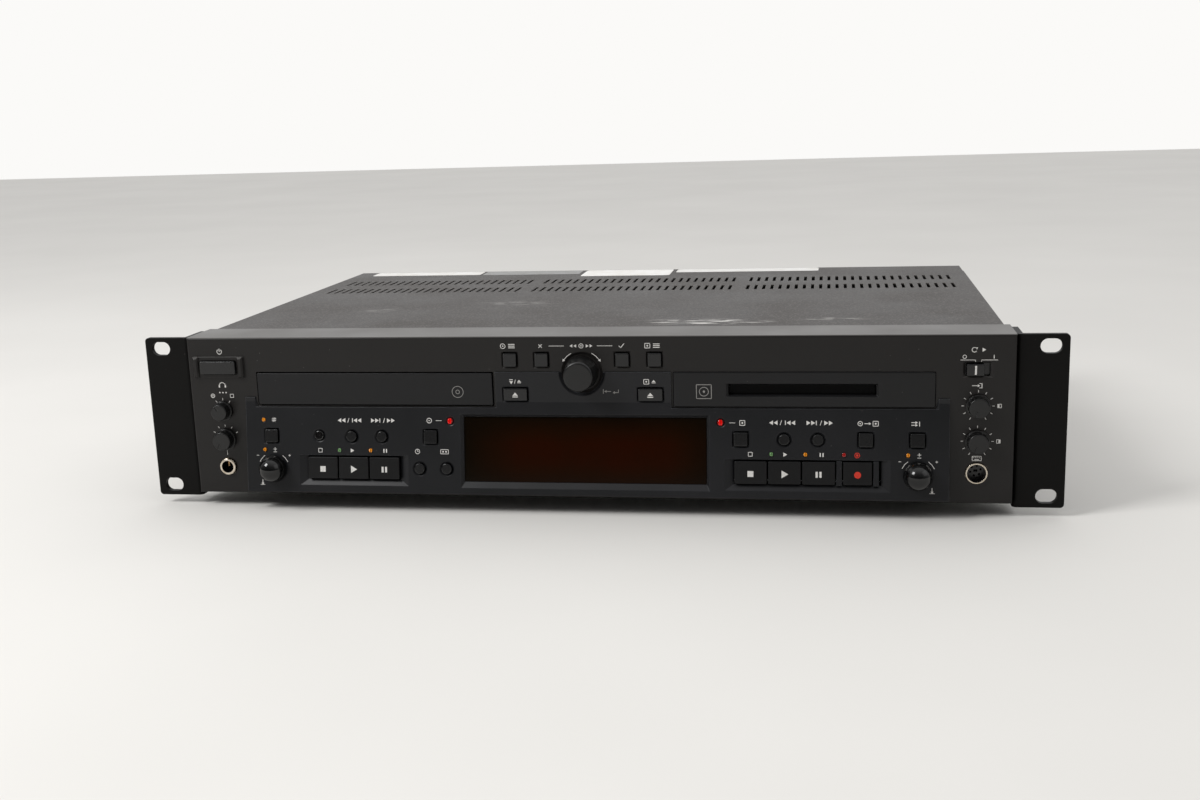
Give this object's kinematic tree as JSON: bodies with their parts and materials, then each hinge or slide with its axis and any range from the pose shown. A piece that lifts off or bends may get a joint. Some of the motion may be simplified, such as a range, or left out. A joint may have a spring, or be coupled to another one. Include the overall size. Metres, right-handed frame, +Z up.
{
  "type": "minidisc deck",
  "caption": "Rack-mount audio deck with a sliding disc tray, a minidisc slot, a wide display, transport keys, a jog knob and slotted rack ears.",
  "frame": {"origin": "centre of the plan at the height of the surface the feet stand on", "axes": "+X to the right across the front, +Y to the rear, +Z up"},
  "size_m": [0.4826, 0.3074, 0.0935],
  "materials": {
    "black_steel": "fine textured black paint",
    "zinc_steel": "zinc plated sheet steel",
    "black_plastic": "matte moulded black",
    "blue_black_plastic": "fine spark grain, blue black",
    "gloss_black": "polished black",
    "smoked": "smoked brown acrylic",
    "lens": "tinted clear lens",
    "rubber": "matte",
    "chrome": "bright plated",
    "socket_plastic": "matte black",
    "board": "solder mask",
    "drive_metal": "pressed steel",
    "nylon": "natural nylon"
  },
  "bodies": {
    "deck": {"chassis": "zinc_steel", "top_cover": "black_steel", "front_fascia": "black_plastic", "control_panel": "blue_black_plastic", "display_window": "smoked", "front_board": "board", "md_bezel": "blue_black_plastic", "rack_ear_left": "black_steel", "rack_ear_right": "black_steel", "feet": "rubber", "case_screws": "zinc_steel", "cd_drive": "drive_metal", "md_drive": "drive_metal", "main_board": "board", "power_supply": "board", "phones_jack": "chrome", "keyboard_socket": "chrome", "rear_sockets": "socket_plastic", "mains_inlet": "socket_plastic", "panel_lenses": "lens"},
    "cd_menu_button": {"cd_menu_button": "black_plastic"},
    "no_button": {"no_button": "black_plastic"},
    "yes_button": {"yes_button": "black_plastic"},
    "md_menu_button": {"md_menu_button": "black_plastic"},
    "tray_button": {"tray_button": "black_plastic"},
    "eject_button": {"eject_button": "black_plastic"},
    "key_button": {"key_button": "black_plastic"},
    "cd_skip_back_button": {"cd_skip_back_button": "black_plastic"},
    "cd_skip_forward_button": {"cd_skip_forward_button": "black_plastic"},
    "cd_select_button": {"cd_select_button": "black_plastic"},
    "time_button": {"time_button": "black_plastic"},
    "display_button": {"display_button": "black_plastic"},
    "md_select_button": {"md_select_button": "black_plastic"},
    "md_skip_back_button": {"md_skip_back_button": "black_plastic"},
    "md_skip_forward_button": {"md_skip_forward_button": "black_plastic"},
    "dubbing_button": {"dubbing_button": "black_plastic"},
    "input_select_button": {"input_select_button": "black_plastic"},
    "power_button": {"power_button": "black_plastic"},
    "cd_stop_key": {"cd_stop_key": "black_plastic"},
    "cd_play_key": {"cd_play_key": "black_plastic"},
    "cd_pause_key": {"cd_pause_key": "black_plastic"},
    "md_stop_key": {"md_stop_key": "black_plastic"},
    "md_play_key": {"md_play_key": "black_plastic"},
    "md_pause_key": {"md_pause_key": "black_plastic"},
    "record_key": {"record_key": "black_plastic"},
    "phones_selector_knob": {"phones_selector_knob": "black_plastic"},
    "phones_level_knob": {"phones_level_knob": "black_plastic"},
    "input_left_knob": {"input_left_knob": "black_plastic"},
    "input_right_knob": {"input_right_knob": "black_plastic"},
    "jog_shaft": {"jog_shaft": "zinc_steel"},
    "jog_knob": {"jog_knob": "black_plastic"},
    "cd_pitch_shaft": {"cd_pitch_shaft": "zinc_steel"},
    "cd_pitch_knob": {"cd_pitch_knob": "gloss_black"},
    "md_pitch_shaft": {"md_pitch_shaft": "zinc_steel"},
    "md_pitch_knob": {"md_pitch_knob": "gloss_black"},
    "continuous_play_switch": {"continuous_play_switch": "black_plastic"},
    "tray": {"disc_tray": "black_plastic", "tray_door": "blue_black_plastic"},
    "tray_pinion": {"tray_pinion": "nylon"},
    "md_slot_flap": {"md_slot_flap": "gloss_black"}
  },
  "joints": [
    {"name": "cd_menu_button_press", "type": "slide", "parent": "deck", "child": "cd_menu_button", "axis": [0, 1, 0], "range_m": [0, 0.001], "stiffness_N_per_m": 300, "springref_m": -0.001},
    {"name": "no_button_press", "type": "slide", "parent": "deck", "child": "no_button", "axis": [0, 1, 0], "range_m": [0, 0.001], "stiffness_N_per_m": 300, "springref_m": -0.001},
    {"name": "yes_button_press", "type": "slide", "parent": "deck", "child": "yes_button", "axis": [0, 1, 0], "range_m": [0, 0.001], "stiffness_N_per_m": 300, "springref_m": -0.001},
    {"name": "md_menu_button_press", "type": "slide", "parent": "deck", "child": "md_menu_button", "axis": [0, 1, 0], "range_m": [0, 0.001], "stiffness_N_per_m": 300, "springref_m": -0.001},
    {"name": "tray_button_press", "type": "slide", "parent": "deck", "child": "tray_button", "axis": [0, 1, 0], "range_m": [0, 0.001], "stiffness_N_per_m": 300, "springref_m": -0.001},
    {"name": "eject_button_press", "type": "slide", "parent": "deck", "child": "eject_button", "axis": [0, 1, 0], "range_m": [0, 0.001], "stiffness_N_per_m": 300, "springref_m": -0.001},
    {"name": "key_button_press", "type": "slide", "parent": "deck", "child": "key_button", "axis": [0, 0.9903, -0.1391], "range_m": [0, 0.001], "stiffness_N_per_m": 300, "springref_m": -0.001},
    {"name": "cd_skip_back_button_press", "type": "slide", "parent": "deck", "child": "cd_skip_back_button", "axis": [0, 0.9903, -0.1391], "range_m": [0, 0.001], "stiffness_N_per_m": 300, "springref_m": -0.001},
    {"name": "cd_skip_forward_button_press", "type": "slide", "parent": "deck", "child": "cd_skip_forward_button", "axis": [0, 0.9903, -0.1391], "range_m": [0, 0.001], "stiffness_N_per_m": 300, "springref_m": -0.001},
    {"name": "cd_select_button_press", "type": "slide", "parent": "deck", "child": "cd_select_button", "axis": [0, 0.9903, -0.1391], "range_m": [0, 0.001], "stiffness_N_per_m": 300, "springref_m": -0.001},
    {"name": "time_button_press", "type": "slide", "parent": "deck", "child": "time_button", "axis": [0, 0.9903, -0.1391], "range_m": [0, 0.001], "stiffness_N_per_m": 300, "springref_m": -0.001},
    {"name": "display_button_press", "type": "slide", "parent": "deck", "child": "display_button", "axis": [0, 0.9903, -0.1391], "range_m": [0, 0.001], "stiffness_N_per_m": 300, "springref_m": -0.001},
    {"name": "md_select_button_press", "type": "slide", "parent": "deck", "child": "md_select_button", "axis": [0, 0.9903, -0.1391], "range_m": [0, 0.001], "stiffness_N_per_m": 300, "springref_m": -0.001},
    {"name": "md_skip_back_button_press", "type": "slide", "parent": "deck", "child": "md_skip_back_button", "axis": [0, 0.9903, -0.1391], "range_m": [0, 0.001], "stiffness_N_per_m": 300, "springref_m": -0.001},
    {"name": "md_skip_forward_button_press", "type": "slide", "parent": "deck", "child": "md_skip_forward_button", "axis": [0, 0.9903, -0.1391], "range_m": [0, 0.001], "stiffness_N_per_m": 300, "springref_m": -0.001},
    {"name": "dubbing_button_press", "type": "slide", "parent": "deck", "child": "dubbing_button", "axis": [0, 0.9903, -0.1391], "range_m": [0, 0.001], "stiffness_N_per_m": 300, "springref_m": -0.001},
    {"name": "input_select_button_press", "type": "slide", "parent": "deck", "child": "input_select_button", "axis": [0, 0.9903, -0.1391], "range_m": [0, 0.001], "stiffness_N_per_m": 300, "springref_m": -0.001},
    {"name": "power_button_press", "type": "slide", "parent": "deck", "child": "power_button", "axis": [0, 1, 0], "range_m": [0, 0.003], "stiffness_N_per_m": 300, "springref_m": -0.003},
    {"name": "cd_stop_key_press", "type": "slide", "parent": "deck", "child": "cd_stop_key", "axis": [0, 0.9903, -0.1391], "range_m": [0, 0.001], "stiffness_N_per_m": 300, "springref_m": -0.001},
    {"name": "cd_play_key_press", "type": "slide", "parent": "deck", "child": "cd_play_key", "axis": [0, 0.9903, -0.1391], "range_m": [0, 0.001], "stiffness_N_per_m": 300, "springref_m": -0.001},
    {"name": "cd_pause_key_press", "type": "slide", "parent": "deck", "child": "cd_pause_key", "axis": [0, 0.9903, -0.1391], "range_m": [0, 0.001], "stiffness_N_per_m": 300, "springref_m": -0.001},
    {"name": "md_stop_key_press", "type": "slide", "parent": "deck", "child": "md_stop_key", "axis": [0, 0.9903, -0.1391], "range_m": [0, 0.001], "stiffness_N_per_m": 300, "springref_m": -0.001},
    {"name": "md_play_key_press", "type": "slide", "parent": "deck", "child": "md_play_key", "axis": [0, 0.9903, -0.1391], "range_m": [0, 0.001], "stiffness_N_per_m": 300, "springref_m": -0.001},
    {"name": "md_pause_key_press", "type": "slide", "parent": "deck", "child": "md_pause_key", "axis": [0, 0.9903, -0.1391], "range_m": [0, 0.001], "stiffness_N_per_m": 300, "springref_m": -0.001},
    {"name": "record_key_press", "type": "slide", "parent": "deck", "child": "record_key", "axis": [0, 0.9903, -0.1391], "range_m": [0, 0.001], "stiffness_N_per_m": 300, "springref_m": -0.001},
    {"name": "phones_selector_turn", "type": "hinge", "parent": "deck", "child": "phones_selector_knob", "pos_m": [-0.1981, -0.13484, 0.0537], "axis": [0, 1, 0], "range_deg": [0, 66]},
    {"name": "phones_level_turn", "type": "hinge", "parent": "deck", "child": "phones_level_knob", "pos_m": [-0.1981, -0.13484, 0.0378], "axis": [0, 1, 0], "range_deg": [0, 300]},
    {"name": "input_left_turn", "type": "hinge", "parent": "deck", "child": "input_left_knob", "pos_m": [0.1982, -0.13484, 0.0577], "axis": [0, 1, 0], "range_deg": [0, 300]},
    {"name": "input_right_turn", "type": "hinge", "parent": "deck", "child": "input_right_knob", "pos_m": [0.1982, -0.13484, 0.0397], "axis": [0, 1, 0], "range_deg": [0, 300]},
    {"name": "jog_press", "type": "slide", "parent": "deck", "child": "jog_shaft", "axis": [0, 1, 0], "range_m": [0, 0.001], "stiffness_N_per_m": 600, "springref_m": -0.001},
    {"name": "jog_turn", "type": "hinge", "parent": "jog_shaft", "child": "jog_knob", "pos_m": [0, -0.13484, 0.0746], "axis": [0, 1, 0], "continuous": true},
    {"name": "cd_pitch_press", "type": "slide", "parent": "deck", "child": "cd_pitch_shaft", "axis": [0, 0.9903, -0.1391], "range_m": [0, 0.001], "stiffness_N_per_m": 600, "springref_m": -0.001},
    {"name": "cd_pitch_turn", "type": "hinge", "parent": "cd_pitch_shaft", "child": "cd_pitch_knob", "pos_m": [-0.1695, -0.14369, 0.023], "axis": [0, 0.9903, -0.1391], "continuous": true},
    {"name": "md_pitch_press", "type": "slide", "parent": "deck", "child": "md_pitch_shaft", "axis": [0, 0.9903, -0.1391], "range_m": [0, 0.001], "stiffness_N_per_m": 600, "springref_m": -0.001},
    {"name": "md_pitch_turn", "type": "hinge", "parent": "md_pitch_shaft", "child": "md_pitch_knob", "pos_m": [0.1695, -0.14369, 0.023], "axis": [0, 0.9903, -0.1391], "continuous": true},
    {"name": "continuous_play_slide", "type": "slide", "parent": "deck", "child": "continuous_play_switch", "axis": [1, 0, 0], "range_m": [0, 0.0024]},
    {"name": "tray_slide", "type": "slide", "parent": "deck", "child": "tray", "axis": [0, -1, 0], "range_m": [0, 0.14]},
    {"name": "pinion_spin", "type": "hinge", "parent": "deck", "child": "tray_pinion", "pos_m": [-0.15865, -0.10884, 0.053], "axis": [0, 0, 1], "range_deg": [0, 804]},
    {"name": "flap_hinge", "type": "hinge", "parent": "deck", "child": "md_slot_flap", "pos_m": [0.11205, -0.13464, 0.0695], "axis": [1, 0, 0], "range_deg": [0, 85], "stiffness_Nm_per_rad": 0.0002, "springref_deg": -22.92}
  ],
  "couplings": [
    {"joint": "pinion_spin", "follows": "tray_slide", "rad_per_m": 100}
  ]
}
